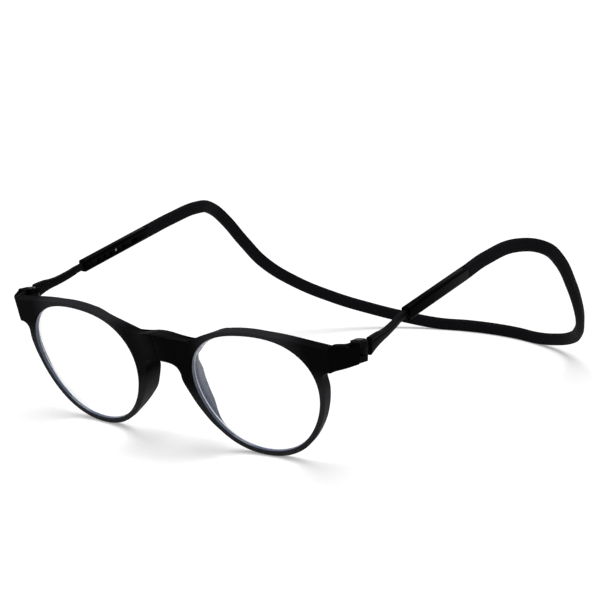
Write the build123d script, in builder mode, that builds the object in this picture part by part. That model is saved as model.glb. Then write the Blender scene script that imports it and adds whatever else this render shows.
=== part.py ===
from build123d import *
import os
from math import cos, pi, radians, sin, sqrt, tan

# Reading glasses that part at a magnetic bridge and hang from a springy neck band.
# Millimetres, Z up, lenses towards -Y, origin on the table under the middle of the outline.
# The right half, on +X, is modelled and its twin is mirrored from it.

os.makedirs("parts", exist_ok=True)

# Where the lenses stand
lens_height = 21.04
lens_setback = 94.61
wrap_angle = 4.5
lean_angle = 18.1

# Clearances
face_gap = 0.03
fit_gap = 0.05
thread_gap = 0.02

# Rim and lens
opening_radius = 21.2
rim_width = 1.5
rim_front = 0.6
rim_depth = 3.0
lip_depth = 1.2
lens_edge = 1.2
lens_bite = 0.6
front_curve = 180.0
back_curve = 230.0
outline_steps = 24
# How far the opening's radius swells, in shares of it, at so many waves a turn
cosine_shares = {2: 0.060, 3: -0.004, 4: -0.009}
sine_shares = {2: 0.012, 3: 0.038, 5: 0.005}

# Bridge and nose side, in the lens plane and measured from the lens centre
bridge_half = 11.3
lens_spacing = 2 * (opening_radius + rim_width + bridge_half)
bridge_top_share = 0.67
bridge_top = opening_radius * bridge_top_share
bridge_height = 8.0
bridge_under = bridge_top - bridge_height
nose_gap = 7.4
nose_round = 2.6
nose_foot = 7.0
nose_depth = 6.6

# Magnet
magnet_diameter = 4.2
magnet_thickness = 2.0

# Lug and hinge, measured from the lens centres
lug_crown_share = 0.915
lug_crown = opening_radius * lug_crown_share
lug_height = 6.1
lug_top = lug_crown - rim_front
lug_foot = lug_top - lug_height
lug_thickness = 2.9
wing_reach = 8.8
wing_foot = 7.4
lug_wing = opening_radius + wing_reach
corner_out = 1.8
hinge_out = lens_spacing / 2 + lug_wing + corner_out
hinge_back = 7.6
barrel_radius = 2.7
eye_radius = 2.6
eye_height = 2.5
eye_middle = lug_foot + lug_height / 2 + fit_gap * 4
slot_radius = 3.5
screw_diameter = 1.4
screw_length = 5.4
head_diameter = 2.5
head_height = 0.9
head_sink = 0.6
drive_width = 0.4
nut_diameter = 2.6
nut_height = 1.2
bush_wall = 0.35

# Arm
arm_start = 3.0
neck_length = 25.0
neck_rise = 6.65
arm_thickness = 2.0
arm_outside = 2.7
arm_flare_top = 2.2
arm_flare_foot = 2.7
bar_height = 2.4
bar_thickness = 1.4
bar_start = 4.5
arm_reach = 22.0
tongue_length = 7.0
tongue_height = 1.4
tongue_thickness = 0.35
tongue_travel = 0.4
tongue_root = 1.5
nib_diameter = 1.2
nib_height = 0.55

# Sleeve and its row of holes
sleeve_out = hinge_out
sleeve_back = hinge_back + neck_length
sleeve_rise = eye_middle + neck_rise
sleeve_slope = 12.7
sleeve_length = 34.0
sleeve_height = 4.2
sleeve_thickness = 3.1
sleeve_corner = 0.9
channel_depth = 27.0
hole_pitch = 3.3
hole_count = 5
first_hole = 6.2
nib_hole = 3
hole_diameter = 1.4
window_length = 3.0
window_height = 1.6

# Neck band and its core
ear_flare = 5.4
ear_half_width = sleeve_out + ear_flare
band_reach = 129.635
arch_rise = 54.0
nape_half = 22.0
nape_radius = 60.0
pull_shares = (1.0, 1.0)
band_height = 4.5
band_thickness = 3.1
band_corner = 1.2
tenon_length = 5.5
tenon_height = 2.8
tenon_thickness = 1.8
core_height = 1.6
core_thickness = 0.8
band_sections = 36
nape_sections = 4
# The band's route in shares: out of ear_half_width, back of band_reach, up of arch_rise
route_shares = [
    (0.921, 0.102, 0.961),
    (0.934, 0.233, 1.000),
    (0.992, 0.331, 0.952),
    (1.000, 0.399, 0.852),
    (0.986, 0.479, 0.672),
    (0.955, 0.550, 0.509),
    (0.882, 0.641, 0.356),
    (0.755, 0.759, 0.207),
    (0.630, 0.850, 0.112),
    (0.480, 0.921, 0.044),
]


def at(out, back, up):
    """A place given outwards, backwards and upwards from the point between the lens centres."""
    return Vector(out, back - lens_setback, up + lens_height)


# The lens plane leans forwards at the top and wraps round the face
wrap = radians(wrap_angle)
lean = radians(lean_angle)
lens_plane = Plane(
    origin=at(lens_spacing / 2, 0, 0),
    x_dir=(cos(wrap), sin(wrap), 0),
    z_dir=(sin(wrap) * cos(lean), -cos(wrap) * cos(lean), -sin(lean)),
)
front_plane = lens_plane.offset(rim_front)
side_plane = Plane(origin=lens_plane.origin, x_dir=lens_plane.y_dir, z_dir=lens_plane.x_dir)
middle_line = -lens_spacing / 2 / cos(wrap)
edge_front = rim_front - lip_depth

# The sleeve's own planes: along its run from its mouth, seen from outside and from above
slope = radians(sleeve_slope)
run = Vector(0, cos(slope), sin(slope))
rise = Vector(0, -sin(slope), cos(slope))
outer_view = Plane(origin=at(sleeve_out, sleeve_back, sleeve_rise), x_dir=run, z_dir=(1, 0, 0))
top_view = Plane(origin=outer_view.origin, x_dir=run, z_dir=rise)
mouth_view = Plane(origin=outer_view.origin, x_dir=(-1, 0, 0), z_dir=run)

hinge_foot = at(hinge_out, hinge_back, lug_foot)
hinge_plane = Plane(origin=hinge_foot)


def eye_outline(gain):
    """Points round the opening, which is widest towards its upper outer side."""
    points = []
    for step in range(outline_steps):
        turn = 2 * pi * step / outline_steps
        swell = sum(share * cos(waves * turn) for waves, share in cosine_shares.items())
        swell += sum(share * sin(waves * turn) for waves, share in sine_shares.items())
        reach = opening_radius * (1 + swell) + gain
        points.append((reach * cos(turn), reach * sin(turn)))
    return points


def eye_face(gain):
    """A sketch face with the opening's outline, grown by a gain."""
    with BuildSketch(mode=Mode.PRIVATE) as eye:
        with BuildLine():
            Spline(*eye_outline(gain), periodic=True)
        make_face()
    return eye.sketch


def dish(gain, gap):
    """A meniscus with the eye's outline, standing where the lens sits."""
    front_drop = front_curve - sqrt(front_curve**2 - opening_radius**2)
    back_drop = back_curve - sqrt(back_curve**2 - opening_radius**2)
    front_ball = lens_plane.offset(edge_front + front_drop - front_curve)
    back_ball = lens_plane.offset(edge_front - lens_edge + back_drop - back_curve)
    with BuildPart(mode=Mode.PRIVATE) as body:
        with BuildSketch(lens_plane):
            add(eye_face(gain))
        extrude(amount=nose_depth, both=True)
        with Locations(front_ball.origin):
            Sphere(front_curve + gap, mode=Mode.INTERSECT)
        with Locations(back_ball.origin):
            Sphere(back_curve - gap, mode=Mode.SUBTRACT)
    return body.part


# Clear lens
with BuildPart() as lens_right:
    add(dish(lens_bite - fit_gap, 0))

# Front half: rim, deep nose side, half bridge and lug with two hinge ears
nose_side = middle_line + nose_gap
lug_middle = (lug_top + lug_foot) / 2
wing_out = lens_spacing / 2 + lug_wing
wing_back = lug_wing * tan(wrap) - lug_middle * tan(lean) + rim_depth / 3
lug_line = hinge_out + barrel_radius - lug_thickness / 2
lug_sections = (
    # outwards, backwards, upwards, heading, height, roll
    (wing_out - wing_reach / 3, wing_back - rim_width / 4, lug_middle, wrap_angle, wing_foot, lean_angle),
    (wing_out + rim_width / 8, wing_back + rim_width / 2, lug_middle, wrap_angle * 4, wing_foot, lean_angle),
    (hinge_out + rim_width / 3, hinge_back / 4, lug_middle, 60.0, lug_height * 1.05, lean_angle / 3),
    (lug_line, hinge_back * 0.6, lug_middle, 90.0, lug_height, 0),
    (lug_line, hinge_back, lug_middle, 90.0, lug_height, 0),
)
magnet_place = lens_plane.from_local_coords((middle_line, (bridge_top + bridge_under) / 2, rim_front - nose_depth / 2))
magnet_plane = Plane(origin=(face_gap, magnet_place.Y, magnet_place.Z), z_dir=(1, 0, 0))
with BuildPart() as front_right:
    # Nose side and bridge, drawn deep and then shaped by their side profile
    with BuildSketch(front_plane):
        add(eye_face(rim_width))
        with Locations((-opening_radius, 0)):
            Rectangle(opening_radius, opening_radius * 3, mode=Mode.INTERSECT)
        with BuildLine():
            upper = Spline(
                (middle_line - nose_round, bridge_top),
                (middle_line + nose_gap / 2, bridge_top - rim_width / 8),
                (nose_side + rim_width, bridge_top - rim_width / 2),
                (-opening_radius + rim_width, bridge_top + rim_width / 2),
            )
            lower = Spline(
                (-opening_radius, -nose_foot),
                (nose_side + nose_round / 2, -nose_foot / 2),
                (nose_side, 0),
                (nose_side - nose_round / 8, bridge_under - nose_round * 1.3),
                (nose_side - nose_round / 2, bridge_under - nose_round / 2),
                (nose_side - nose_round * 1.4, bridge_under - nose_round / 8),
                (middle_line - nose_round, bridge_under),
            )
            Line(upper @ 1, lower @ 0)
            Line(lower @ 1, upper @ 0)
        make_face()
    extrude(amount=-nose_depth)
    with BuildSketch(side_plane):
        with BuildLine():
            back = Spline(
                (opening_radius, rim_front - rim_depth),
                (bridge_top, rim_front - nose_depth),
                (bridge_under / 2, rim_front - nose_depth),
                (-opening_radius / 2, rim_front - nose_depth / 2 - rim_depth / 2),
                (-opening_radius, rim_front - rim_depth),
            )
            Line(back @ 1, (-opening_radius, rim_front))
            Line((-opening_radius, rim_front), (opening_radius, rim_front))
            Line((opening_radius, rim_front), back @ 0)
        make_face()
    extrude(amount=-lens_spacing, mode=Mode.INTERSECT)
    split(bisect_by=Plane.YZ.offset(face_gap), keep=Keep.TOP)
    # Rim with the flat wing that carries the lug, level with its top
    with BuildSketch(front_plane):
        add(eye_face(rim_width))
        with BuildLine():
            crown = Spline((opening_radius / 3, lug_crown), (opening_radius, lug_crown), (lug_wing, lug_crown))
            sole = Spline(
                (lug_wing, lug_foot),
                (opening_radius + rim_width * 2, lug_foot - rim_width),
                (opening_radius, lug_foot - rim_width * 3),
            )
            Line(crown @ 1, sole @ 0)
            Line(sole @ 1, crown @ 0)
        make_face()
    extrude(amount=-rim_depth)
    # Lug, bending back to the hinge
    for out, back_by, up, heading, height, roll in lug_sections:
        course = Vector(cos(radians(heading)), sin(radians(heading)), 0)
        outward = Vector(sin(radians(heading)), -cos(radians(heading)), 0)
        with BuildSketch(Plane(origin=at(out, back_by, up), x_dir=outward, z_dir=course)):
            Rectangle(lug_thickness, height, rotation=roll)
    loft()
    with BuildSketch(hinge_plane):
        Circle(barrel_radius)
    extrude(amount=lug_height)
    # Eye opening, lens groove, magnet pocket
    with BuildSketch(lens_plane):
        add(eye_face(0))
    extrude(amount=nose_depth, both=True, mode=Mode.SUBTRACT)
    add(dish(lens_bite, fit_gap), mode=Mode.SUBTRACT)
    with BuildSketch(magnet_plane):
        Circle(magnet_diameter / 2 + fit_gap)
    extrude(amount=magnet_thickness, mode=Mode.SUBTRACT)
    # Slot for the arm's eye, screw hole, head's recess and the insert's pocket
    with BuildSketch(Plane(origin=at(hinge_out, hinge_back, eye_middle - eye_height / 2 - fit_gap))):
        Circle(slot_radius)
    extrude(amount=eye_height + fit_gap * 2, mode=Mode.SUBTRACT)
    with BuildSketch(hinge_plane):
        Circle(screw_diameter / 2 + fit_gap)
    extrude(amount=lug_height, mode=Mode.SUBTRACT)
    with BuildSketch(hinge_plane):
        Circle(nut_diameter / 2)
    extrude(amount=nut_height, mode=Mode.SUBTRACT)
    with BuildSketch(Plane(origin=at(hinge_out, hinge_back, lug_top))):
        Circle(head_diameter / 2 + fit_gap)
    extrude(amount=-head_sink, mode=Mode.SUBTRACT)

# Disc magnet, flush with the mating face
with BuildPart() as bridge_magnet_right:
    with BuildSketch(magnet_plane):
        Circle(magnet_diameter / 2)
    extrude(amount=magnet_thickness)

# Hinge screw with a slotted head
with BuildPart() as hinge_screw_right:
    head_plane = Plane(origin=at(hinge_out, hinge_back, lug_top - head_sink))
    with BuildSketch(head_plane):
        Circle(head_diameter / 2)
    extrude(amount=head_height)
    with BuildSketch(head_plane):
        Circle(screw_diameter / 2)
    extrude(amount=-screw_length)
    with BuildSketch(head_plane.offset(head_height)):
        Rectangle(head_diameter * 2, drive_width, rotation=wrap_angle * 8)
    extrude(amount=-head_height / 2, mode=Mode.SUBTRACT)

# Threaded insert in the lower ear
with BuildPart() as hinge_nut_right:
    with BuildSketch(hinge_plane):
        Circle(nut_diameter / 2 - thread_gap)
        Circle(screw_diameter / 2 + thread_gap, mode=Mode.SUBTRACT)
    extrude(amount=nut_height)

# Bush in the arm's eye
eye_plane = Plane(origin=at(hinge_out, hinge_back, eye_middle - eye_height / 2))
bush_radius = screw_diameter / 2 + fit_gap + bush_wall
with BuildPart() as hinge_bush_right:
    with BuildSketch(eye_plane):
        Circle(bush_radius)
        Circle(bush_radius - bush_wall, mode=Mode.SUBTRACT)
    extrude(amount=eye_height)

# Arm: flared neck and bar from two crossed outlines, then the eye in front
neck_start = hinge_back + arm_start - sleeve_back
tongue_place = first_hole + nib_hole * hole_pitch
pocket_start = tongue_place + nib_diameter - tongue_length
pocket_depth = tongue_thickness + tongue_travel
with BuildPart() as arm_right:
    with BuildSketch(outer_view):
        with BuildLine():
            brow = Spline(
                (neck_start - arm_start, arm_flare_top),
                (neck_start / 2, bar_height / 2 + (arm_flare_top - bar_height / 2) / 2),
                (-bar_start, bar_height / 2),
                tangents=[(1, 0), (1, 0)],
            )
            chin = Spline(
                (-bar_start, -bar_height / 2),
                (neck_start / 2, -bar_height / 2 - (arm_flare_foot - bar_height / 2) / 5),
                (neck_start, -arm_flare_foot),
                (neck_start - arm_start, -arm_flare_foot * 1.3),
            )
            Polyline(brow @ 1, (arm_reach, bar_height / 2), (arm_reach, -bar_height / 2), chin @ 0)
            Line(chin @ 1, brow @ 0)
        make_face()
    extrude(amount=arm_thickness * 2, both=True)
    with BuildSketch(top_view):
        with BuildLine():
            outside = Spline(
                (neck_start - arm_start, -arm_outside),
                (neck_start * 0.8, -arm_outside),
                (-bar_start, -bar_thickness / 2),
                tangents=[(1, 0), (1, 0)],
            )
            inside = Spline(
                (-bar_start, bar_thickness / 2),
                (neck_start * 0.8, arm_thickness - arm_outside),
                (neck_start - arm_start, arm_thickness - arm_outside),
                tangents=[(-1, 0), (-1, 0)],
            )
            Polyline(outside @ 1, (arm_reach, -bar_thickness / 2), (arm_reach, bar_thickness / 2), inside @ 0)
            Line(inside @ 1, outside @ 0)
        make_face()
    extrude(amount=lug_top, both=True, mode=Mode.INTERSECT)
    split(bisect_by=Plane(origin=at(0, hinge_back + arm_start, 0), z_dir=(0, 1, 0)), keep=Keep.TOP)
    with BuildSketch(eye_plane):
        Circle(eye_radius)
        with Locations((eye_radius / 3, arm_start / 2 + fit_gap)):
            Rectangle(eye_radius, arm_start + fit_gap * 4)
    extrude(amount=eye_height)
    with BuildSketch(eye_plane):
        Circle(bush_radius + thread_gap)
    extrude(amount=eye_height, mode=Mode.SUBTRACT)
    # Pocket that the click tongue lies in, open on the inner face
    with BuildSketch(outer_view.offset(-bar_thickness / 2)):
        with Locations((pocket_start + tongue_length / 2, 0)):
            Rectangle(tongue_length + fit_gap * 2, tongue_height + fit_gap * 2)
    extrude(amount=pocket_depth, mode=Mode.SUBTRACT)

# Click tongue: a springy leaf with a nib that snaps into one hole of the sleeve
with BuildPart() as click_tongue_right:
    with BuildSketch(outer_view.offset(-bar_thickness / 2)):
        with Locations((pocket_start + tongue_length / 2, 0)):
            Rectangle(tongue_length, tongue_height)
    extrude(amount=tongue_thickness)
    with BuildSketch(outer_view.offset(-bar_thickness / 2)):
        with Locations((pocket_start + tongue_root / 2, 0)):
            Rectangle(tongue_root, tongue_height)
    extrude(amount=pocket_depth)
    with BuildSketch(outer_view.offset(-bar_thickness / 2)):
        with Locations((tongue_place, 0)):
            Circle(nib_diameter / 2)
    extrude(amount=-nib_height)

# Sleeve: channel for the arm, row of adjusting holes, window and the band's socket
inner_face = outer_view.offset(-sleeve_thickness / 2)
with BuildPart() as sleeve_right:
    with BuildSketch(mouth_view):
        RectangleRounded(sleeve_thickness, sleeve_height, sleeve_corner)
    extrude(amount=sleeve_length)
    with BuildSketch(mouth_view):
        Rectangle(bar_thickness + fit_gap * 2, bar_height + fit_gap * 2)
    extrude(amount=channel_depth, mode=Mode.SUBTRACT)
    with BuildSketch(inner_face):
        for step in range(hole_count):
            with Locations((first_hole + step * hole_pitch, 0)):
                Circle(hole_diameter / 2)
        with Locations((channel_depth - window_length / 2, 0)):
            SlotOverall(window_length, window_height)
    extrude(amount=sleeve_thickness / 2, mode=Mode.SUBTRACT)
    with BuildSketch(mouth_view.offset(sleeve_length)):
        Rectangle(tenon_thickness + fit_gap * 2, tenon_height + fit_gap * 2)
    extrude(amount=-tenon_length - fit_gap, mode=Mode.SUBTRACT)

# The band's route from the sleeve's end over the ear and down to the nape
band_start = outer_view.origin + run * sleeve_length
nape_rise = band_height / 2
nape_back = band_start.Y + band_reach
nape_drop = nape_radius - sqrt(nape_radius**2 - nape_half**2)
nape_turn = Vector(-sqrt(nape_radius**2 - nape_half**2), nape_half, 0).normalized()
stops = [
    (out * ear_half_width, band_start.Y + back * band_reach, nape_rise + up * arch_rise)
    for out, back, up in route_shares
]
with BuildLine() as route:
    arch = Spline(
        band_start,
        *stops,
        (nape_half, nape_back - nape_drop, nape_rise),
        tangents=[run, nape_turn],
        tangent_scalars=pull_shares,
    )
    nape = TangentArc(arch @ 1, (0, nape_back, nape_rise), tangent=nape_turn)


def square_to(line, share):
    """The plane square to a line at a share of its length, with its second axis upwards."""
    course = line.tangent_at(share)
    return Plane(origin=line.position_at(share), x_dir=course.cross(Vector(0, 0, 1)), z_dir=course)


band_planes = [square_to(arch, step / band_sections) for step in range(band_sections)]
band_planes += [square_to(nape, step / nape_sections) for step in range(nape_sections + 1)]


# Neck band, moulded round its core, with a tenon in each sleeve
with BuildPart() as neck_band:
    for plane in band_planes:
        with BuildSketch(plane):
            RectangleRounded(band_thickness, band_height, band_corner)
            Rectangle(core_thickness, core_height, mode=Mode.SUBTRACT)
    loft(ruled=True)
    with BuildSketch(mouth_view.offset(sleeve_length)):
        Rectangle(tenon_thickness, tenon_height)
        Rectangle(core_thickness, core_height, mode=Mode.SUBTRACT)
    extrude(amount=-tenon_length)
    mirror(about=Plane.YZ)

# Springy core strip
with BuildPart() as band_core:
    for plane in band_planes:
        with BuildSketch(plane):
            Rectangle(core_thickness, core_height)
    loft(ruled=True)
    with BuildSketch(mouth_view.offset(sleeve_length)):
        Rectangle(core_thickness, core_height)
    extrude(amount=-tenon_length)
    mirror(about=Plane.YZ)

# The left half is the right half mirrored
right_pieces = {
    "front": front_right,
    "lens": lens_right,
    "bridge_magnet": bridge_magnet_right,
    "hinge_screw": hinge_screw_right,
    "hinge_nut": hinge_nut_right,
    "hinge_bush": hinge_bush_right,
    "arm": arm_right,
    "click_tongue": click_tongue_right,
    "sleeve": sleeve_right,
}
for name, right_piece in right_pieces.items():
    with BuildPart() as left_piece:
        mirror(right_piece.part, about=Plane.YZ)
    right_piece.part.label = f"{name}_right"
    left_piece.part.label = f"{name}_left"
    export_step(right_piece.part, f"parts/{name}_right.step")
    export_step(left_piece.part, f"parts/{name}_left.step")

neck_band.part.label = "neck_band"
export_step(neck_band.part, "parts/neck_band.step")

band_core.part.label = "band_core"
export_step(band_core.part, "parts/band_core.step")
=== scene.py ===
from math import cos, pi, radians, sin

import bmesh
import bpy
from mathutils import Matrix, Vector


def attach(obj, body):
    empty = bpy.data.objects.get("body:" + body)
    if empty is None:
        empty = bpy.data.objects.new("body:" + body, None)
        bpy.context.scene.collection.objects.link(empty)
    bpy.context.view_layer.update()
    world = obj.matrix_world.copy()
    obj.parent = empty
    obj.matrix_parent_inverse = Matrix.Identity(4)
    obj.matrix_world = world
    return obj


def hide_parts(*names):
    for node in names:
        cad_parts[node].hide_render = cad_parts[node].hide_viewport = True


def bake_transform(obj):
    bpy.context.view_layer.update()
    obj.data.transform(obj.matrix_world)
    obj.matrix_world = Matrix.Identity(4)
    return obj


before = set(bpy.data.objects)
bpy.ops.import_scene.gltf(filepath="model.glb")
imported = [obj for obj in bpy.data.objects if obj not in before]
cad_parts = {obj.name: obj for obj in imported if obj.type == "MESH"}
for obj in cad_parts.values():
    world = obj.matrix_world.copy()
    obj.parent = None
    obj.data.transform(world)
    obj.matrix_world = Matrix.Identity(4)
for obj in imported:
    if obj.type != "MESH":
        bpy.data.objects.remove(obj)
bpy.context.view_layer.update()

# Camera: stands to the right and a little above, as in the photograph.
# Its lens is long, so the two eyes look nearly the same size.
camera_azimuth = radians(36.26)
camera_height = radians(11.37)
camera_roll = radians(0.17)
camera_place = Vector((0.39151, -0.56039, 0.16721))
focal_length = 120.42
sight_limit = 10

level_share = cos(camera_height)
to_lens = Vector((sin(camera_azimuth) * level_share, -cos(camera_azimuth) * level_share, sin(camera_height)))
turned = Matrix.Rotation(camera_roll, 3, to_lens)
to_right = turned @ Vector((cos(camera_azimuth), sin(camera_azimuth), 0))
upwards = to_lens.cross(to_right)
camera_data = bpy.data.cameras.new("camera")
camera_data.lens = focal_length
camera_data.clip_end = sight_limit
camera = bpy.data.objects.new("camera", camera_data)
bpy.context.scene.collection.objects.link(camera)
camera.matrix_world = Matrix((to_right, upwards, to_lens)).transposed().to_4x4()
camera.location = camera_place
bpy.context.scene.camera = camera
bpy.context.scene.view_settings.view_transform = "Standard"

# Ground: a white sweep that keeps a soft shadow under the rims and the band's back.
# Straight from the camera it is nearly pure white, as on a product picture. It falls a little in
# front of the rims, because they come down when the arms slide out.
ground_size = 6.0
ground_fall = -0.0026
fall_foot = -0.0959
fall_top = -0.0862
ground_stops = ((-ground_size, ground_fall), (fall_foot, ground_fall), (fall_top, 0), (ground_size, 0))
paper_white = 0.93
paper_glow = 0.27


def straight_view(tree):
    """A mask that is 1 on rays from the camera, also through a lens, and 0 on all others."""
    path = tree.nodes.new("ShaderNodeLightPath")
    either = tree.nodes.new("ShaderNodeMath")
    either.operation = "MAXIMUM"
    tree.links.new(path.outputs["Is Camera Ray"], either.inputs[0])
    tree.links.new(path.outputs["Is Transmission Ray"], either.inputs[1])
    return either.outputs[0]


bm = bmesh.new()
bmesh.ops.create_grid(bm, x_segments=1, y_segments=len(ground_stops) - 1, size=ground_size)
for vert in bm.verts:
    row = round((vert.co.y / ground_size + 1) / 2 * (len(ground_stops) - 1))
    vert.co.y, vert.co.z = ground_stops[row]
mesh = bpy.data.meshes.new("ground")
bm.to_mesh(mesh)
bm.free()
ground = bpy.data.objects.new("ground", mesh)
bpy.context.scene.collection.objects.link(ground)
paper = bpy.data.materials.new("white_paper")
paper.use_nodes = True
nodes = paper.node_tree.nodes
links = paper.node_tree.links
nodes.clear()
out = nodes.new("ShaderNodeOutputMaterial")
matt = nodes.new("ShaderNodeBsdfDiffuse")
matt.inputs["Color"].default_value = (paper_white, paper_white, paper_white, 1)
glow = nodes.new("ShaderNodeEmission")
glow.inputs["Color"].default_value = (1, 1, 1, 1)
both = nodes.new("ShaderNodeAddShader")
strength = nodes.new("ShaderNodeMath")
strength.operation = "MULTIPLY"
strength.inputs[1].default_value = paper_glow
links.new(straight_view(paper.node_tree), strength.inputs[0])
links.new(strength.outputs[0], glow.inputs["Strength"])
links.new(matt.outputs[0], both.inputs[0])
links.new(glow.outputs[0], both.inputs[1])
links.new(both.outputs[0], out.inputs["Surface"])
mesh.materials.append(paper)

# Light: an even white room, and one very broad lamp straight above the glasses.
# The lamp is as even over the whole ground as a ceiling of soft boxes, and its shadows are soft.
room_level = 0.45
room_seen_level = 1.0
lamp_level = 1.75
lamp_breadth = radians(46)
world = bpy.data.worlds.new("white_room")
world.use_nodes = True
bpy.context.scene.world = world
nodes = world.node_tree.nodes
links = world.node_tree.links
nodes.clear()
out = nodes.new("ShaderNodeOutputWorld")
room = nodes.new("ShaderNodeBackground")
level = nodes.new("ShaderNodeMapRange")
level.inputs["To Min"].default_value = room_level
level.inputs["To Max"].default_value = room_seen_level
links.new(straight_view(world.node_tree), level.inputs["Value"])
links.new(level.outputs["Result"], room.inputs["Strength"])
links.new(room.outputs[0], out.inputs["Surface"])
data = bpy.data.lights.new("ceiling_of_soft_boxes", "SUN")
data.energy = lamp_level
data.angle = lamp_breadth
lamp = bpy.data.objects.new("ceiling_of_soft_boxes", data)
bpy.context.scene.collection.objects.link(lamp)

# Front halves: injection-moulded black plastic, polished, in two mirrored pieces.
# Each is a rim with half of the bridge, a deep nose side and a lug that bends back to the hinge.
mm = 0.001
lens_centre = Vector((34.0, -94.61, 21.04))
wrap = radians(4.5)
lean = radians(18.1)
plate_right = Vector((cos(wrap), sin(wrap), 0))
plate_front = Vector((sin(wrap) * cos(lean), -cos(wrap) * cos(lean), -sin(lean)))
plate_up = plate_front.cross(plate_right)
plate = Matrix((plate_right, plate_up, plate_front)).transposed().to_4x4()
plate.translation = lens_centre
# The opening: its mean radius, and how far each wave swells it, by the number of waves round it
opening_radius = 21.3
cosine_shares = {2: 0.060, 3: -0.004, 4: -0.009}
sine_shares = {2: 0.012, 3: 0.038, 5: 0.005}
rim_width = 1.75
rim_width_at_top = 1.25
rim_front = 0.6
rim_crown_sine = 0.9
rim_steps = 144
# Lengths and places as close as this count as the same
hair = 0.0001


def ease(value, low, high):
    """0 below low, 1 above high, and a smooth rise between."""
    share = min(max((value - low) / (high - low), 0), 1)
    return share * share * (3 - 2 * share)


def opening(turn, gain=0.0):
    """A point on the opening's edge, or on a line that runs round it a gain further out."""
    swell = 1 + sum(s * cos(k * turn) for k, s in cosine_shares.items())
    swell += sum(s * sin(k * turn) for k, s in sine_shares.items())
    reach = opening_radius * swell + gain
    return Vector((reach * cos(turn), reach * sin(turn), 0))


def turn_of(spot):
    """How far round the opening a point lies, from the temple's side upwards."""
    return -Vector((1, 0)).angle_signed(spot.xy, 0)


def rim_edge(turn):
    """A point on the rim's outer edge, nearer to the opening at the top than below."""
    crown = ease(sin(turn), 0, rim_crown_sine)
    return opening(turn, rim_width + (rim_width_at_top - rim_width) * crown)


def half_in_place(side):
    """Turns the right half's millimetres into metres, and mirrors them for the left half."""
    return Matrix.Diagonal((side * mm, mm, mm, 1))


def along(stops, share):
    """The point at a share of the way along a smooth line through the stops."""
    place = share * (len(stops) - 1)
    first = min(int(place), len(stops) - 2)
    part = place - first
    a = Vector(stops[max(first - 1, 0)])
    b = Vector(stops[first])
    c = Vector(stops[first + 1])
    d = Vector(stops[min(first + 2, len(stops) - 1)])
    line = b * 2 + (c - a) * part + (a * 2 - b * 5 + c * 4 - d) * part**2
    return (line + (b * 3 - a - c * 3 + d) * part**3) / 2


# The outer edge leaves the rim for the wing under the lug and for the bridge. Its stops lie across
# and up from the opening's centre.
wing_end = 28.0
wing_foot = 10.6
wing_top = 18.3
bridge_line = -34.1
bridge_top = 15.8
bridge_under = 6.5
lug_under = [
    opening(radians(-10), rim_width),
    opening(radians(0), 2.0),
    opening(radians(10), 2.5),
    (24.7, 8.4, 0),
    (26.0, 10.2, 0),
    (wing_end, wing_foot, 0),
]
lug_end = [(wing_end, wing_foot, 0), (wing_end, wing_top, 0)]
lug_above = [
    (wing_end, wing_top, 0),
    (22.0, 18.95, 0),
    (15.5, 19.7, 0),
    (10.5, 20.1, 0),
    (6.5, 20.25, 0),
    rim_edge(radians(80)),
]
bridge_above = [
    rim_edge(radians(110)),
    (-11.0, 19.1, 0),
    (-15.2, 17.9, 0),
    (-19.1, 16.1, 0),
    (-22.2, 14.7, 0),
    (-24.8, 14.1, 0),
    (-27.6, 14.7, 0),
    (-31.0, 15.5, 0),
    (bridge_line, bridge_top, 0),
]
bridge_end = [(bridge_line, bridge_top, 0), (bridge_line, bridge_under, 0)]
bridge_below = [
    (bridge_line, bridge_under, 0),
    (-30.5, 6.1, 0),
    (-28.2, 5.0, 0),
    (-27.1, 2.8, 0),
    (-26.8, 0.0, 0),
    opening(radians(190), 3.3),
    opening(radians(200), 2.7),
    opening(radians(215), 2.1),
    opening(radians(230), rim_width),
]
# First and last step round the rim of each such stretch
stretches = (
    (-4, 12, lug_under),
    (12, 18, lug_end),
    (18, 32, lug_above),
    (44, 60, bridge_above),
    (60, 64, bridge_end),
    (64, 92, bridge_below),
)


def outer_edge(step):
    """A point on the front's outer edge."""
    for first, last, stops in stretches:
        for turns in (0, rim_steps):
            if first <= step - turns <= last:
                return along(stops, (step - turns - first) / (last - first))
    return rim_edge(2 * pi * step / rim_steps)


boss_rise = 0.5
boss_crown = 0.6
rim_depth = 2.0
rim_swell = 1.3
wall_swell_share = 0.15
nose_depth = 6.6
nose_depth_lost = 0.9
nose_inner_share = 0.5
back_edge_drop_share = 0.32
# Where those forms rise: from and to, across towards the nose, up, or out from the opening's edge
boss_across = (23.5, 32.5)
boss_up = (6, 15)
rim_swell_up = (-16, -3)
rim_swell_out = (0.1, 1.2)
nose_across = (11.5, 23.5)
nose_up = (-17.5, -7.5)
nose_inner_up = (1, 9)
nose_inner_out = (0, 4)
nose_loss_up = (2, 10)
back_edge_across = (8, 15)
back_edge_up = (8, 12)


def front_rise(place):
    """How far the bridge's rounded boss stands in front of the rims."""
    return (boss_rise + boss_crown * ease(place.y, *boss_up)) * ease(-place.x, *boss_across)


def back_depth(place):
    """How far back the moulding reaches from the rim's front: shallow below, deepest beside the nose."""
    gain = place.length - opening(turn_of(place)).length
    wall = wall_swell_share + (1 - wall_swell_share) * ease(gain, *rim_swell_out)
    rim = rim_depth + rim_swell * ease(place.y, *rim_swell_up) * wall
    side = ease(-place.x, *nose_across)
    low = ease(place.y, *nose_up)
    inner = 1 - nose_inner_share * ease(place.y, *nose_inner_up) * (1 - ease(gain, *nose_inner_out))
    deepest = nose_depth - nose_depth_lost * ease(place.y, *nose_loss_up)
    return rim + (deepest - rim) * side * low * inner


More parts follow.
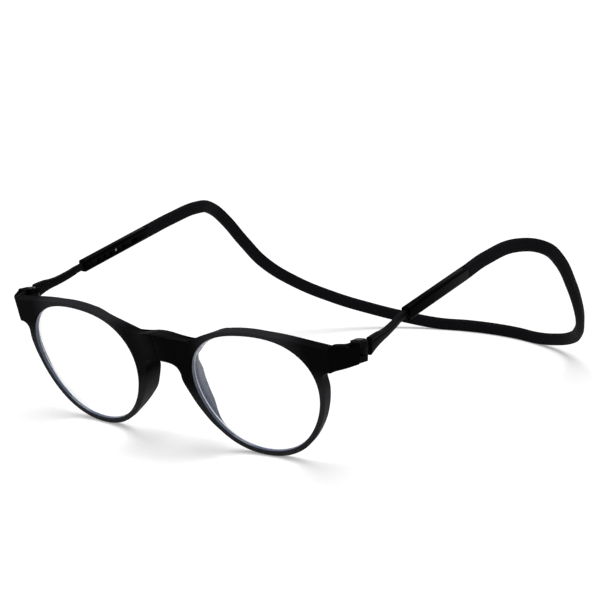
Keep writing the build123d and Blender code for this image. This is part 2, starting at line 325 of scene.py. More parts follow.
# Lug: stops of its middle line from the wing's end to the hinge, its height and its slot there,
# and over which shares of the way it bends, loses the rim's lean and grows to its full height
hinge = Vector((65.8, -87.01, 0))
barrel_radius = 2.7
barrel_inside = 1.7
barrel_run_in = 3.4
lug_low = 33.74
lug_high = 39.84
slot_low = 35.68
slot_high = 38.30
lug_steps = 14
lug_line_depth = 1.45
lug_stops = [
    plate @ Vector((wing_end, (wing_foot + wing_top) / 2, rim_front - lug_line_depth)),
    Vector((63.0, -95.2, 35.45)),
    Vector((65.1, -92.9, 35.85)),
    Vector((66.75, -90.9, 36.45)),
    Vector((67.05, hinge.y - barrel_run_in, 36.79)),
]
bend_shares = (0.05, 0.8)
upright_shares = (0.1, 0.85)
growth_shares = (0.1, 0.7)


def lug_section(share):
    """The frame of the lug's section at a share of its way back, and its height."""
    place = along(lug_stops, share)
    heading = wrap + (pi / 2 - wrap) * ease(share, *bend_shares)
    tilt = lean * (1 - ease(share, *upright_shares))
    course = Vector((cos(heading), sin(heading), 0))
    outward = Vector((sin(heading), -cos(heading), 0))
    up = Vector((0, 0, 1)) * cos(tilt) + outward * sin(tilt)
    outward = outward * cos(tilt) - Vector((0, 0, 1)) * sin(tilt)
    frame_of = Matrix((course, up, outward)).transposed().to_4x4()
    frame_of.translation = place
    wing_tall = wing_top - wing_foot
    tall = wing_tall + (lug_high - lug_low - wing_tall) * ease(share, *growth_shares)
    return frame_of, tall


def sharp_edges(bm, degrees):
    """The edges where two faces meet at more than an angle."""
    return [e for e in bm.edges if e.is_manifold and e.calc_face_angle(0) > radians(degrees)]


def round_off(bm, edges, size, segments):
    """Rounds edges off over a width of a size to each side."""
    bmesh.ops.bevel(bm, geom=edges, offset=size, offset_type="OFFSET", segments=segments, profile=0.5,
                    affect="EDGES", clamp_overlap=True, material=-1)


ring_cuts = 7
wall_cuts = 2
ear_steps = 14
ear_start_share = 1.04
ear_end_share = 0.12
face_gap = 0.03
seam_reach = 0.01
edge_angle = 40
wide_steps = 5
round_steps = 3
fine_steps = 2
seam_round = 0.12
mouth_round = 0.55
mouth_slack = 1.2
mouth_height = 0.3
brow_round = 1.2
brow_across = -23
brow_up = 11
edge_round = 0.42
weld_gap = 0.002


def front_half(name, side):
    """One front half as a closed mesh, on the right for side 1 and on the left for side -1."""
    bm = bmesh.new()
    ring = bmesh.ops.create_circle(bm, cap_ends=False, segments=rim_steps, radius=1)["verts"]
    ring = sorted(ring, key=lambda v: turn_of(v.co) % (2 * pi))
    if ring[-1].co.x > 0 and abs(ring[-1].co.y) < hair:
        ring = ring[-1:] + ring[:-1]
    for step, vert in enumerate(ring):
        vert.co = opening(2 * pi * step / rim_steps)
    grown = bmesh.ops.extrude_edge_only(bm, edges=bm.edges[:])["geom"]
    outer = [v for v in grown if isinstance(v, bmesh.types.BMVert)]
    for vert in outer:
        inner = next(e.other_vert(vert) for e in vert.link_edges if e.other_vert(vert) in ring)
        vert.co = outer_edge(ring.index(inner))
    radial = [e for e in bm.edges if (e.verts[0] in ring) != (e.verts[1] in ring)]
    bmesh.ops.subdivide_edges(bm, edges=radial, cuts=ring_cuts, use_grid_fill=True)
    for face in bm.faces:
        if face.normal.z < 0:
            face.normal_flip()

    # The back, and the boss on the bridge
    result = bmesh.ops.extrude_face_region(bm, geom=bm.faces[:], use_keep_orig=True)["geom"]
    back = {v for v in result if isinstance(v, bmesh.types.BMVert)}
    for vert in bm.verts:
        place = vert.co.copy()
        if vert in back:
            depth = back_depth(place)
            upper = ease(-place.x, *back_edge_across) * ease(place.y, *back_edge_up)
            vert.co.y -= back_edge_drop_share * depth * upper
            vert.co.z = rim_front - depth
        else:
            vert.co.z = rim_front + front_rise(place)
    walls = [e for e in bm.edges if (e.verts[0] in back) != (e.verts[1] in back)]
    bmesh.ops.recalc_face_normals(bm, faces=bm.faces[:])
    bmesh.ops.subdivide_edges(bm, edges=walls, cuts=wall_cuts, use_grid_fill=True)

    # Lug: the wing's end is drawn out in steps round the corner to the hinge
    end = [f for f in bm.faces if all(abs(v.co.x - wing_end) < hair for v in f.verts)]
    bmesh.ops.transform(bm, matrix=plate, verts=bm.verts[:])
    section, tall = lug_section(0)
    for step in range(1, lug_steps + 1):
        new_section, new_tall = lug_section(step / lug_steps)
        grown = bmesh.ops.extrude_face_region(bm, geom=end)["geom"]
        end = [f for f in grown if isinstance(f, bmesh.types.BMFace)]
        verts = [v for v in grown if isinstance(v, bmesh.types.BMVert)]
        stretch = Matrix.Diagonal((1, new_tall / tall, 1, 1))
        bmesh.ops.transform(bm, matrix=new_section @ stretch @ section.inverted(), verts=verts)
        section, tall = new_section, new_tall

    # Two ears, above and below the slot for the arm's eye
    last = {v for f in end for v in f.verts}
    levels = (lug_low, (lug_low + slot_low) / 2, slot_low, (slot_low + slot_high) / 2, slot_high,
              (slot_high + lug_high) / 2, lug_high)
    lowest = min(v.co.z for v in last)
    span = max(v.co.z for v in last) - lowest
    for vert in last:
        vert.co.z = levels[round((vert.co.z - lowest) / span * (len(levels) - 1))]
    ears = [f for f in end if not slot_low < f.calc_center_median().z < slot_high]
    reach_in = min(v.co.x for v in last)
    reach_out = max(v.co.x for v in last)
    for step in range(ear_steps + 1):
        turn = pi * step / ear_steps
        half = barrel_radius * max(sin(turn), ear_end_share)
        run_back = -barrel_radius * cos(turn) if step else -barrel_radius * ear_start_share
        new_in = hinge.x - min(half, barrel_inside)
        if turn < pi / 2:
            new_in = min(new_in, reach_in)
        new_out = hinge.x + (barrel_radius if turn < pi / 2 else half)
        grown = bmesh.ops.extrude_face_region(bm, geom=ears)["geom"]
        ears = [f for f in grown if isinstance(f, bmesh.types.BMFace)]
        for vert in (v for v in grown if isinstance(v, bmesh.types.BMVert)):
            share = (vert.co.x - reach_in) / (reach_out - reach_in)
            vert.co.x = new_in + share * (new_out - new_in)
            vert.co.y = hinge.y + run_back
        reach_in, reach_out = new_in, new_out

    # The mating face of the bridge is flat in the mid plane, with an almost sharp edge
    away = plate.inverted()
    for vert in bm.verts:
        if (away @ vert.co).x < bridge_line + seam_reach:
            vert.co.x = face_gap
    seam = [e for e in sharp_edges(bm, edge_angle) if all(abs(v.co.x - face_gap) < hair for v in e.verts)]
    round_off(bm, seam, seam_round, round_steps)

    # Rounded edges: wide where the opening meets the front, smaller elsewhere
    def bordering(edge):
        """Whether an edge lies on the opening's front or back edge."""
        spots = [away @ v.co for v in edge.verts]
        beside = [s.xy.length_squared - opening(turn_of(s)).length_squared for s in spots]
        return all(abs(b) < mouth_slack for b in beside)

    def on_brow(spot):
        """Whether a point lies on the bridge's upper part."""
        return spot.x < brow_across and spot.y > brow_up

    sharp = sharp_edges(bm, edge_angle)
    mouth = {e for e in sharp if bordering(e) and (away @ e.verts[0].co).z > mouth_height}
    others = [e for e in sharp if e not in mouth]
    round_off(bm, [e for e in sharp if e in mouth], mouth_round, round_steps)
    others = [e for e in others if e.is_valid]
    brow = [e for e in others if all(on_brow(away @ v.co) for v in e.verts)]
    round_off(bm, brow, brow_round, wide_steps)
    others = [e for e in others if e.is_valid and e.calc_face_angle(0) > radians(edge_angle)]
    round_off(bm, others, edge_round, round_steps)
    bmesh.ops.remove_doubles(bm, verts=bm.verts[:], dist=weld_gap)
    bmesh.ops.transform(bm, matrix=half_in_place(side), verts=bm.verts[:])
    return finished(bm, name)


def finished(bm, name, flat=35):
    """Closes a mesh off as an object in the scene, smooth but for edges sharper than flat degrees."""
    bmesh.ops.recalc_face_normals(bm, faces=bm.faces[:])
    mesh = bpy.data.meshes.new(name)
    bm.to_mesh(mesh)
    bm.free()
    mesh.shade_smooth()
    mesh.set_sharp_from_angle(angle=radians(flat))
    piece = bpy.data.objects.new(name, mesh)
    bpy.context.scene.collection.objects.link(piece)
    return piece


def node_group(name, inputs, outputs):
    """An empty shader node group with named number inputs and outputs, and its two end nodes."""
    group = bpy.data.node_groups.new(name, "ShaderNodeTree")
    for title, value in inputs.items():
        socket = group.interface.new_socket(title, in_out="INPUT", socket_type="NodeSocketFloat")
        socket.default_value = value
    for title in outputs:
        group.interface.new_socket(title, in_out="OUTPUT", socket_type="NodeSocketFloat")
    return group, group.nodes.new("NodeGroupInput"), group.nodes.new("NodeGroupOutput")


# Moulded skin: the tool's fine grain, and broad soft marks of handling
skin, given, put_out = node_group(
    "moulded_skin",
    {"Grain Size": 900.0, "Mark Size": 60.0},
    ("Grain", "Marks"),
)
grain_detail = 3
marks_detail = 5
marks_roughness = 0.62
where = skin.nodes.new("ShaderNodeTexCoord")
grain = skin.nodes.new("ShaderNodeTexNoise")
grain.inputs["Detail"].default_value = grain_detail
marks = skin.nodes.new("ShaderNodeTexNoise")
marks.inputs["Detail"].default_value = marks_detail
marks.inputs["Roughness"].default_value = marks_roughness
skin.links.new(where.outputs["Object"], grain.inputs["Vector"])
skin.links.new(where.outputs["Object"], marks.inputs["Vector"])
skin.links.new(given.outputs["Grain Size"], grain.inputs["Scale"])
skin.links.new(given.outputs["Mark Size"], marks.inputs["Scale"])
skin.links.new(grain.outputs["Fac"], put_out.inputs["Grain"])
skin.links.new(marks.outputs["Fac"], put_out.inputs["Marks"])


marks_low = 0.3
marks_high = 0.7
moulded_bump = 0.6


def moulded(name, dark, light, rough, gloss, grain_size, mark_size, depth):
    """A moulded finish: two close tones, a range of roughness, its gloss and its grain."""
    finish = bpy.data.materials.new(name)
    finish.use_nodes = True
    nodes = finish.node_tree.nodes
    links = finish.node_tree.links
    shade = nodes["Principled BSDF"]
    shade.inputs["Specular IOR Level"].default_value = gloss
    group = nodes.new("ShaderNodeGroup")
    group.node_tree = skin
    group.inputs["Grain Size"].default_value = grain_size
    group.inputs["Mark Size"].default_value = mark_size
    tone = nodes.new("ShaderNodeMix")
    tone.data_type = "RGBA"
    tone.inputs["A"].default_value = (*dark, 1)
    tone.inputs["B"].default_value = (*light, 1)
    spread = nodes.new("ShaderNodeMapRange")
    spread.inputs["From Min"].default_value = marks_low
    spread.inputs["From Max"].default_value = marks_high
    spread.inputs["To Min"].default_value = rough[0]
    spread.inputs["To Max"].default_value = rough[1]
    bump = nodes.new("ShaderNodeBump")
    bump.inputs["Strength"].default_value = moulded_bump
    bump.inputs["Distance"].default_value = depth
    links.new(group.outputs["Marks"], tone.inputs["Factor"])
    links.new(tone.outputs["Result"], shade.inputs["Base Color"])
    links.new(group.outputs["Marks"], spread.inputs["Value"])
    links.new(spread.outputs["Result"], shade.inputs["Roughness"])
    links.new(group.outputs["Grain"], bump.inputs["Height"])
    links.new(bump.outputs["Normal"], shade.inputs["Normal"])
    return finish


front_plastic = moulded(
    "polished_black_plastic", (0.0012, 0.0012, 0.0015), (0.0022, 0.0022, 0.0027),
    rough=(0.40, 0.52), gloss=0.03, grain_size=1400.0, mark_size=70.0, depth=0.000004,
)
# Where it is thin, the rims get a lighter smoky tone. This is a painted glow of light coming through the
# plastic, painted into the colour.
# The thick bridge and lugs keep the dark tone and are duller too.
painted_rim_glow = (0.020, 0.020, 0.023)
thick_gloss = 0.014
thin_gloss = 0.032
nodes = front_plastic.node_tree.nodes
links = front_plastic.node_tree.links
shade = nodes["Principled BSDF"]
# Mixes the painted lighter tone into the thin rims' colour and raises their gloss there
rim_glow_and_gloss_share = nodes.new("ShaderNodeAttribute")
rim_glow_and_gloss_share.attribute_name = "thin_rim_glow_and_gloss"
painted_rim_glow_mix = nodes.new("ShaderNodeMix")
painted_rim_glow_mix.data_type = "RGBA"
painted_rim_glow_mix.inputs["B"].default_value = (*painted_rim_glow, 1)
sheen = nodes.new("ShaderNodeMapRange")
sheen.inputs["To Min"].default_value = thick_gloss
sheen.inputs["To Max"].default_value = thin_gloss
links.new(rim_glow_and_gloss_share.outputs["Fac"], painted_rim_glow_mix.inputs["Factor"])
links.new(shade.inputs["Base Color"].links[0].from_socket, painted_rim_glow_mix.inputs["A"])
links.new(painted_rim_glow_mix.outputs["Result"], shade.inputs["Base Color"])
links.new(rim_glow_and_gloss_share.outputs["Fac"], sheen.inputs["Value"])
links.new(sheen.outputs["Result"], shade.inputs["Specular IOR Level"])

# The opening's wall and its inner round are polished. They carry a painted bluish reflection, a tone far
# lighter and bluer than the black plastic
painted_wall_plastic = moulded(
    "polished_opening_wall_painted_bluish", (0.056, 0.072, 0.115), (0.102, 0.126, 0.190),
    rough=(0.10, 0.18), gloss=0.4, grain_size=900.0, mark_size=120.0, depth=0.000002,
)

painted_wall_out = 0.45
painted_wall_back = 0.03
# Where the plastic turns thick and the rims' painted glow gives way to the dark tone: across to the nose or
# the temple, and up
thick_nose_across = (13, 22)
thick_nose_up = (-12, 2)
thick_lug_across = (10, 21)
thick_lug_up = (2, 12)

for side, hand in ((1, "right"), (-1, "left")):
    front = front_half(f"front_moulding_{hand}", side)
    front.data.materials.append(front_plastic)
    front.data.materials.append(painted_wall_plastic)
    away = (half_in_place(side) @ plate).inverted()
    # Faces on the opening's wall take the polished finish with the painted bluish reflection
    for face in front.data.polygons:
        spot = away @ face.center
        edge = opening(turn_of(spot)).length
        if spot.xy.length < edge + painted_wall_out and spot.z < rim_front - painted_wall_back:
            face.material_index = 1
    # Share of the painted glow and the higher gloss: 1 on the thin rims, 0 on the thick bridge and lugs
    thin_rim_glow_and_gloss = front.data.attributes.new("thin_rim_glow_and_gloss", "FLOAT", "POINT")
    for vert, value in zip(front.data.vertices, thin_rim_glow_and_gloss.data):
        spot = away @ vert.co
        bridge_share = ease(-spot.x, *thick_nose_across) * ease(spot.y, *thick_nose_up)
        lug_share = ease(spot.x, *thick_lug_across) * ease(spot.y, *thick_lug_up)
        value.value = 1 - max(bridge_share, lug_share)
    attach(front, f"{hand}_front")
    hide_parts(f"front_{hand}")


# Lenses: clear injection-moulded reading lenses, pressed into the rims from behind.
# Both faces are domed, the front one more strongly, and the edge is ground flat.
lens_front = -0.45
lens_edge = 1.0
front_curve = 180.0
back_curve = 230.0
lens_steps = 96
lens_fit = -0.02
lens_edge_angle = 50
dome_shares = (0.97, 0.85, 0.7, 0.55, 0.4, 0.25, 0.1)
lens_index = 1.5
wipe_size = 45.0
wipe_reach = (0.45, 0.8)
wipe_roughness = 0.03
lens_clear = bpy.data.materials.new("clear_lens")
lens_clear.use_nodes = True
nodes = lens_clear.node_tree.nodes
links = lens_clear.node_tree.links
shade = nodes["Principled BSDF"]
shade.inputs["Base Color"].default_value = (1, 1, 1, 1)
shade.inputs["Transmission Weight"].default_value = 1.0
shade.inputs["IOR"].default_value = lens_index
wipe = nodes.new("ShaderNodeGroup")
wipe.node_tree = skin
wipe.inputs["Mark Size"].default_value = wipe_size
haze = nodes.new("ShaderNodeMapRange")
haze.inputs["From Min"].default_value = wipe_reach[0]
haze.inputs["From Max"].default_value = wipe_reach[1]
haze.inputs["To Min"].default_value = 0.0
haze.inputs["To Max"].default_value = wipe_roughness
links.new(wipe.outputs["Marks"], haze.inputs["Value"])
links.new(haze.outputs["Result"], shade.inputs["Roughness"])
# Clear lenses throw next to no shadow
seen = nodes.new("ShaderNodeLightPath")
solid = nodes.new("ShaderNodeMath")
solid.operation = "SUBTRACT"
solid.inputs[0].default_value = 1.0
links.new(seen.outputs["Is Shadow Ray"], solid.inputs[1])
links.new(solid.outputs[0], shade.inputs["Alpha"])


def lens(name, side):
    """A lens: a disc of the opening's outline with two domed faces."""
    bm = bmesh.new()
    ring = bmesh.ops.create_circle(bm, cap_ends=False, segments=lens_steps, radius=1)["verts"]
    for vert in ring:
        vert.co = opening(turn_of(vert.co), lens_fit)
    edges = bm.edges[:]
    for share in dome_shares:
        grown = bmesh.ops.extrude_edge_only(bm, edges=edges)["geom"]
        edges = [e for e in grown if isinstance(e, bmesh.types.BMEdge) and e.is_boundary]
        verts = [v for v in grown if isinstance(v, bmesh.types.BMVert)]
        reach = share * opening_radius / (sum(v.co.length for v in verts) / len(verts))
        bmesh.ops.scale(bm, vec=(reach, reach, 1), verts=verts)
    bmesh.ops.holes_fill(bm, edges=edges, sides=0)
    for face in bm.faces:
        if face.normal.z < 0:
            face.normal_flip()
    result = bmesh.ops.extrude_face_region(bm, geom=bm.faces[:], use_keep_orig=True)["geom"]
    back = {v for v in result if isinstance(v, bmesh.types.BMVert)}
    crown = opening_radius**2
    for vert in bm.verts:
        fall = (crown - vert.co.length_squared) / 2
        if vert in back:
            vert.co.z = lens_front - lens_edge + fall / back_curve
        else:
            vert.co.z = lens_front + fall / front_curve
    bmesh.ops.transform(bm, matrix=half_in_place(side) @ plate, verts=bm.verts[:])
    return finished(bm, name, lens_edge_angle)


frosted_dark = (0.70, 0.72, 0.76)
frosted_light = (0.82, 0.84, 0.87)
frosted_roughness = 0.6
frosted_size = 300.0
face_share = 0.5
ground_edge = bpy.data.materials.new("ground_lens_edge")
ground_edge.use_nodes = True
nodes = ground_edge.node_tree.nodes
links = ground_edge.node_tree.links
shade = nodes["Principled BSDF"]
shade.inputs["Roughness"].default_value = frosted_roughness
frost = nodes.new("ShaderNodeGroup")
frost.node_tree = skin
frost.inputs["Mark Size"].default_value = frosted_size
tone = nodes.new("ShaderNodeMix")
tone.data_type = "RGBA"
tone.inputs["A"].default_value = (*frosted_dark, 1)
tone.inputs["B"].default_value = (*frosted_light, 1)
links.new(frost.outputs["Marks"], tone.inputs["Factor"])
links.new(tone.outputs["Result"], shade.inputs["Base Color"])

for side, hand in ((1, "right"), (-1, "left")):
    glass = lens(f"clear_lens_{hand}", side)
    glass.data.materials.append(lens_clear)
    glass.data.materials.append(ground_edge)
    facing = (half_in_place(side) @ plate).to_3x3().col[2].normalized()
    for face in glass.data.polygons:
        if abs(face.normal.dot(facing)) < face_share:
            face.material_index = 1
    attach(glass, f"{hand}_front")
    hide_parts(f"lens_{hand}")


# Bridge magnets: small nickel-plated discs, pressed into the mating faces of the two halves.
# Their flat poles meet when the halves close.
solid_weld_gap = 0.000001
level_angle = radians(1)
cut_grain_size = 2500.0
cut_bump = 0.5
dark_share = 0.8


def from_solid(node, name, edge, flat=35):
    """A copy of a CAD solid with its edges broken by a small round."""
    bm = bmesh.new()
    bm.from_mesh(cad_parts[node].data)
    bmesh.ops.remove_doubles(bm, verts=bm.verts[:], dist=solid_weld_gap)
    bmesh.ops.dissolve_limit(bm, angle_limit=level_angle, verts=bm.verts[:], edges=bm.edges[:])
    round_off(bm, sharp_edges(bm, flat), edge * mm, fine_steps)
    return finished(bm, name, flat)


def machined(name, colour, rough, mark_size, depth):
    """A turned or plated metal: one colour, with fine marks in its roughness and height."""
    finish = bpy.data.materials.new(name)
    finish.use_nodes = True
    nodes = finish.node_tree.nodes
    links = finish.node_tree.links
    shade = nodes["Principled BSDF"]
    shade.inputs["Metallic"].default_value = 1.0
    group = nodes.new("ShaderNodeGroup")
    group.node_tree = skin
    group.inputs["Grain Size"].default_value = cut_grain_size
    group.inputs["Mark Size"].default_value = mark_size
    tone = nodes.new("ShaderNodeMix")
    tone.data_type = "RGBA"
    tone.inputs["A"].default_value = (*[dark_share * c for c in colour], 1)
    tone.inputs["B"].default_value = (*colour, 1)
    spread = nodes.new("ShaderNodeMapRange")
    spread.inputs["To Min"].default_value = rough[0]
    spread.inputs["To Max"].default_value = rough[1]
    bump = nodes.new("ShaderNodeBump")
    bump.inputs["Strength"].default_value = cut_bump
    bump.inputs["Distance"].default_value = depth
    links.new(group.outputs["Marks"], tone.inputs["Factor"])
    links.new(tone.outputs["Result"], shade.inputs["Base Color"])
    links.new(group.outputs["Grain"], spread.inputs["Value"])
    links.new(spread.outputs["Result"], shade.inputs["Roughness"])
    links.new(group.outputs["Grain"], bump.inputs["Height"])
    links.new(bump.outputs["Normal"], shade.inputs["Normal"])
    return finish


magnet_plating = machined(
    "nickel_plating", (0.62, 0.61, 0.58),
    rough=(0.18, 0.34), mark_size=300.0, depth=0.000002,
)
magnet_proud = 0.015
magnet_round = 0.15
for side, hand in ((1, "right"), (-1, "left")):
    magnet = from_solid(f"bridge_magnet_{hand}", f"magnet_disc_{hand}", magnet_round)
    magnet.data.transform(Matrix.Translation((-side * magnet_proud * mm, 0, 0)))
    magnet.data.materials.append(magnet_plating)
    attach(magnet, f"{hand}_front")
    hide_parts(f"bridge_magnet_{hand}")


# Hinge hardware: a steel screw with a slotted head down through each lug's ears,
# a brass insert that it bites into below, and a plastic bush in the arm's eye between them.
screw_steel = machined(
    "blackened_screw_steel", (0.13, 0.13, 0.14),
    rough=(0.22, 0.38), mark_size=500.0, depth=0.000002,
)
insert_brass = machined(
    "insert_brass", (0.75, 0.52, 0.22),
    rough=(0.25, 0.40), mark_size=400.0, depth=0.000002,
)
bush_plastic = moulded(
    "bush_acetal", (0.55, 0.55, 0.53), (0.62, 0.62, 0.60),
    rough=(0.35, 0.45), gloss=0.4, grain_size=1500.0, mark_size=200.0, depth=0.000002,
)
# Node, piece, size of the rounds on its edges, finish, slot, and the body that it goes with
hardware = (
    ("hinge_screw", "slotted_screw", 0.08, screw_steel, "screw_steel", "front"),
    ("hinge_nut", "threaded_insert", 0.08, insert_brass, "insert_brass", "front"),
    ("hinge_bush", "eye_bush", 0.05, bush_plastic, "bush_plastic", "arm"),
)
for hand in ("right", "left"):
    for node, name, edge, finish, slot, body in hardware:
        fitting = from_solid(f"{node}_{hand}", f"{name}_{hand}", edge)
        fitting.data.materials.append(finish)
        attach(fitting, f"{hand}_{body}")
        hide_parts(f"{node}_{hand}")


# Arms: stiff matt plastic, moulded in one with the hinge eye, the flared neck and the bar
# that slides in the sleeve. A groove runs along the neck under its top rib.
arm_plastic = moulded(
    "matt_black_arm_plastic", (0.0015, 0.0015, 0.0018), (0.0030, 0.0030, 0.0033),
    rough=(0.42, 0.54), gloss=0.045, grain_size=1800.0, mark_size=90.0, depth=0.000008,
)
eye_gap = 0.06
eye_low = slot_low + eye_gap
eye_high = slot_high - eye_gap
eye_radius = 2.6
eye_bore = 1.12
eye_back = -83.9
eye_stem_inside = -0.6
eye_stem_outside = 2.1
eye_steps = 48
eye_angle = 50
eye_round = 0.12
bar_thickness = 1.4
neck_edge_angle = 30
# Stations of the neck and the bar: distance back, foot, top, middle of the thickness, thickness
neck_stations = (
    (-84.15, 35.0, 40.4, 67.45, 2.1),
    (-83.2, 35.6, 40.6, 67.45, 2.1),
    (-81.6, 36.5, 40.85, 67.4, 2.05),
    (-79.4, 37.4, 41.15, 67.25, 2.0),
    (-77.0, 38.15, 41.2, 67.05, 1.9),
    (-74.4, 38.75, 41.55, 66.75, 1.8),
    (-71.6, 39.5, 42.25, 66.4, 1.65),
    (-68.8, 40.35, 43.05, 66.1, 1.5),
    (-66.4, 41.2, 43.9, 65.85, 1.42),
    (-65.4, 41.65, 44.15, hinge.x, bar_thickness),
    (-61.6, 42.5, 45.0, hinge.x, bar_thickness),
    (-51.0, 44.85, 47.3, hinge.x, bar_thickness),
    (-40.35, 47.2, 49.65, hinge.x, bar_thickness),
)
# The neck's section in shares of its half thickness and half height, with the groove outside
neck_section_shares = (
    (-0.55, -1.0), (0.45, -1.0), (0.85, -0.93), (1.0, -0.78), (1.0, -0.3), (1.0, 0.2), (0.92, 0.34),
    (0.70, 0.42), (0.70, 0.5), (0.95, 0.58), (1.0, 0.68), (0.95, 0.88), (0.6, 1.0), (-0.55, 1.0),
    (-0.9, 0.92), (-1.0, 0.75), (-1.0, 0.0), (-1.0, -0.75), (-0.9, -0.92),
)


def drawn_out(bm, face, frames):
    """Draws a face out through a line of frames, of which the first is where the face stands."""
    end = [face]
    for step in range(1, len(frames)):
        grown = bmesh.ops.extrude_face_region(bm, geom=end, use_keep_orig=step == 1)["geom"]
        end = [f for f in grown if isinstance(f, bmesh.types.BMFace)]
        verts = [v for v in grown if isinstance(v, bmesh.types.BMVert)]
        bmesh.ops.transform(bm, matrix=frames[step] @ frames[step - 1].inverted(), verts=verts)


def hinge_eye():
    """The arm's eye as a mesh: a ring with a stem that runs back to the neck."""
    bm = bmesh.new()
    ring = bmesh.ops.create_circle(bm, cap_ends=False, segments=eye_steps, radius=eye_radius)["verts"]
    grown = bmesh.ops.extrude_edge_only(bm, edges=bm.edges[:])["geom"]
    verts = [v for v in grown if isinstance(v, bmesh.types.BMVert)]
    bmesh.ops.scale(bm, vec=(eye_bore / eye_radius, eye_bore / eye_radius, 1), verts=verts)
    for vert in ring:
        if vert.co.y > eye_radius / 2:
            vert.co.y = eye_back - hinge.y
            vert.co.x = min(max(vert.co.x, eye_stem_inside), eye_stem_outside)
        vert.co.x = max(vert.co.x, -barrel_inside)
    grown = bmesh.ops.extrude_face_region(bm, geom=bm.faces[:], use_keep_orig=True)["geom"]
    verts = [v for v in grown if isinstance(v, bmesh.types.BMVert)]
    bmesh.ops.translate(bm, vec=(0, 0, eye_high - eye_low), verts=verts)
    bmesh.ops.translate(bm, vec=(hinge.x, hinge.y, eye_low), verts=bm.verts[:])
    bmesh.ops.recalc_face_normals(bm, faces=bm.faces[:])
    round_off(bm, sharp_edges(bm, eye_angle), eye_round, fine_steps)
    eye = bpy.data.meshes.new("eye")
    bm.to_mesh(eye)
    bm.free()
    return eye


def arm(name, side):
    """One arm: the neck and bar drawn out through their stations, with the hinge eye before them."""
    bm = bmesh.new()
    frames = []
    for back, foot, top, middle, thick in neck_stations:
        place = Matrix.Translation((middle, back, (foot + top) / 2))
        frames.append(place @ Matrix.Diagonal((thick / 2, 1, (top - foot) / 2, 1)))
    face = bm.faces.new([bm.verts.new((out, 0, up)) for out, up in neck_section_shares])
    bmesh.ops.transform(bm, matrix=frames[0], verts=bm.verts[:])
    drawn_out(bm, face, frames)
    eye = hinge_eye()
    bm.from_mesh(eye)
    bpy.data.meshes.remove(eye)
    bmesh.ops.transform(bm, matrix=half_in_place(side), verts=bm.verts[:])
    return finished(bm, name, neck_edge_angle)


for side, hand in ((1, "right"), (-1, "left")):
    reach = arm(f"sliding_arm_{hand}", side)
    reach.data.materials.append(arm_plastic)
    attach(reach, f"{hand}_arm")
    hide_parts(f"arm_{hand}")


# Click tongues: thin spring steel strips riveted into the bars' inner ends.
# The nib on each drops into the sleeve's holes and holds the length.
spring_steel = machined(
    "spring_steel", (0.42, 0.43, 0.46),
    rough=(0.20, 0.34), mark_size=260.0, depth=0.000002,
)
tongue_round = 0.04
for hand in ("right", "left"):
    tongue = from_solid(f"click_tongue_{hand}", f"nib_tongue_{hand}", tongue_round)
    tongue.data.materials.append(spring_steel)
    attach(tongue, f"{hand}_arm")
    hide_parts(f"click_tongue_{hand}")


# Sleeves: hard glossy plastic tubes on the band's ends, each with the arm's channel inside
# and a row of round holes with one long window for setting the arm's length.
sleeve_plastic = moulded(
    "glossy_black_sleeve_plastic", (0.0006, 0.0006, 0.0007), (0.0011, 0.0011, 0.0013),
    rough=(0.18, 0.28), gloss=0.016, grain_size=1500.0, mark_size=80.0, depth=0.000003,
)
sleeve_round = 0.16
sleeve_edge_angle = 40
for hand, body in (("right", "right_sleeve"), ("left", "neck_band")):
    sleeve = from_solid(f"sleeve_{hand}", f"hard_sleeve_{hand}", sleeve_round, sleeve_edge_angle)
    sleeve.data.materials.append(sleeve_plastic)
    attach(sleeve, body)
    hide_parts(f"sleeve_{hand}")


# Neck band: a sheath of soft matt rubber, moulded over a springy core and pushed into both sleeves.
# It arches over each ear and dips behind the neck, and bends most at the nape.
band_height = 4.5
band_thickness = 3.1
band_corner = 1.3
band_edge_angle = 40
tenon_height = 2.8
tenon_thickness = 1.8
tenon_length = 5.5
corner_segments = 6
line_steps = 10
run = Vector((0, 0.97553, 0.21985))
sleeve_rear = Vector((hinge.x, -28.84, 51.11))
# Stops of the band's middle line on the right, from the sleeve to the nape
band_stops = (
    (65.7, -15.6, 54.05),
    (67.1, 1.3, 55.95),
    (70.6, 14.0, 53.6),
    (71.2, 22.8, 48.2),
    (70.2, 33.2, 38.4),
    (68.0, 42.4, 29.6),
    (62.8, 54.2, 21.3),
    (53.8, 69.4, 13.2),
    (44.9, 81.2, 8.1),
    (34.2, 90.4, 4.4),
    (22.0, 96.48, 2.3),
    (11.0, 99.7, 2.25),
    (0.0, 100.75, 2.25),
)


def band_line(name, start):
    """Points of the band's middle line, from the right sleeve round to the left one."""
    stops = [start, sleeve_rear] + [Vector(s) for s in band_stops]
    stops += [Vector((-s[0], s[1], s[2])) for s in reversed(stops[:-1])]
    curve = bpy.data.curves.new(name, "CURVE")
    curve.dimensions = "3D"
    curve.resolution_u = line_steps
    spline = curve.splines.new("BEZIER")
    spline.bezier_points.add(len(stops) - 1)
    for point, stop in zip(spline.bezier_points, stops):
        point.co = stop
        point.handle_left_type = "AUTO"
        point.handle_right_type = "AUTO"
    guide = bpy.data.objects.new(name, curve)
    bpy.context.scene.collection.objects.link(guide)
    bpy.context.view_layer.update()
    settled = guide.evaluated_get(bpy.context.evaluated_depsgraph_get())
    line = bpy.data.meshes.new_from_object(settled)
    points = [v.co.copy() for v in line.vertices]
    bpy.data.objects.remove(guide)
    bpy.data.curves.remove(curve)
    bpy.data.meshes.remove(line)
    return points


def band_frame(points, place, thick, tall):
    """The frame square to the band's line at one of its points, scaled to a section's size."""
    course = (points[min(place + 1, len(points) - 1)] - points[max(place - 1, 0)]).normalized()
    across = course.cross(Vector((0, 0, 1))).normalized()
    up = across.cross(course)
    square = Matrix((across * thick, course, up * tall)).transposed().to_4x4()
    square.translation = points[place]
    return square


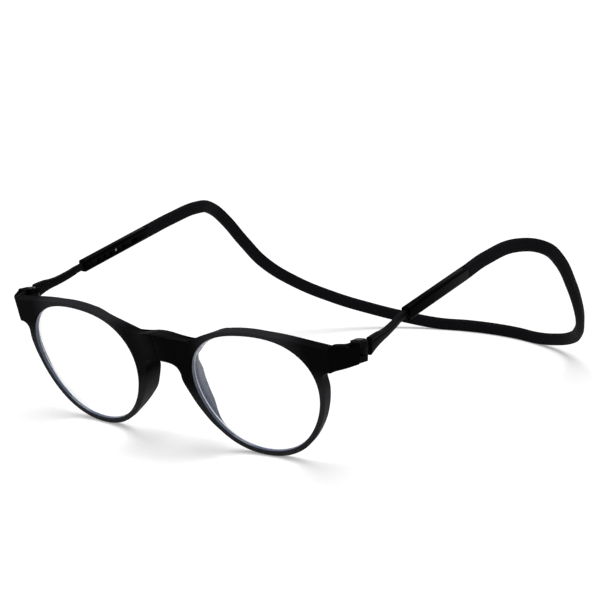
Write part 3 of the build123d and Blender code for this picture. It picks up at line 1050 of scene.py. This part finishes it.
def rounded_section(bm, thick, tall, corner):
    """A face with rounded corners, one unit across and one high, for a section of the given size."""
    verts = bmesh.ops.create_grid(bm, x_segments=1, y_segments=1, size=0.5)["verts"]
    bmesh.ops.scale(bm, vec=(thick, tall, 1), verts=verts)
    bmesh.ops.bevel(bm, geom=bm.verts[:], offset=corner, offset_type="OFFSET", segments=corner_segments,
                    profile=0.5, affect="VERTICES", clamp_overlap=True, material=-1)
    bmesh.ops.rotate(bm, cent=(0, 0, 0), matrix=Matrix.Rotation(pi / 2, 3, "X"), verts=bm.verts[:])
    bmesh.ops.scale(bm, vec=(1 / thick, 1, 1 / tall), verts=bm.verts[:])
    return max(bm.faces, key=lambda f: f.calc_area())


start = sleeve_rear - run * tenon_length
points = band_line("band_guide", start)
bm = bmesh.new()
face = rounded_section(bm, band_thickness, band_height, band_corner)
first = min(range(len(points)), key=lambda k: (points[k] - sleeve_rear).length)
last = len(points) - 1 - first
whole = (band_thickness, band_height)
tenon = (tenon_thickness, tenon_height)
sections = [(place, tenon) for place in range(first + 1)]
sections += [(place, whole) for place in range(first, last + 1)]
sections += [(place, tenon) for place in range(last, len(points))]
frames = [band_frame(points, place, *size) for place, size in sections]
bmesh.ops.transform(bm, matrix=frames[0], verts=bm.verts[:])
drawn_out(bm, face, frames)
bmesh.ops.scale(bm, vec=(mm, mm, mm), verts=bm.verts[:])
band = finished(bm, "neck_band_sheath", band_edge_angle)

band_rubber = moulded(
    "matt_band_rubber", (0.0046, 0.0046, 0.0058), (0.0078, 0.0078, 0.0094),
    rough=(0.62, 0.76), gloss=0.025, grain_size=2200.0, mark_size=110.0, depth=0.000012,
)
band.data.materials.append(band_rubber)
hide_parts("neck_band")
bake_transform(band)


# Core: a thin springy steel strip that runs through the whole band and keeps its arch.
# It is laid in the mould before the rubber, and its ends lock in the sleeves.
core_height = 1.6
core_thickness = 0.8
core_corner = 0.2
bm = bmesh.new()
face = rounded_section(bm, core_thickness, core_height, core_corner)
frames = [band_frame(points, place, core_thickness, core_height) for place in range(len(points))]
bmesh.ops.transform(bm, matrix=frames[0], verts=bm.verts[:])
drawn_out(bm, face, frames)
bmesh.ops.scale(bm, vec=(mm, mm, mm), verts=bm.verts[:])
core = finished(bm, "band_spring_core", band_edge_angle)
core.data.materials.append(spring_steel)
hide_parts("band_core")
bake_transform(core)
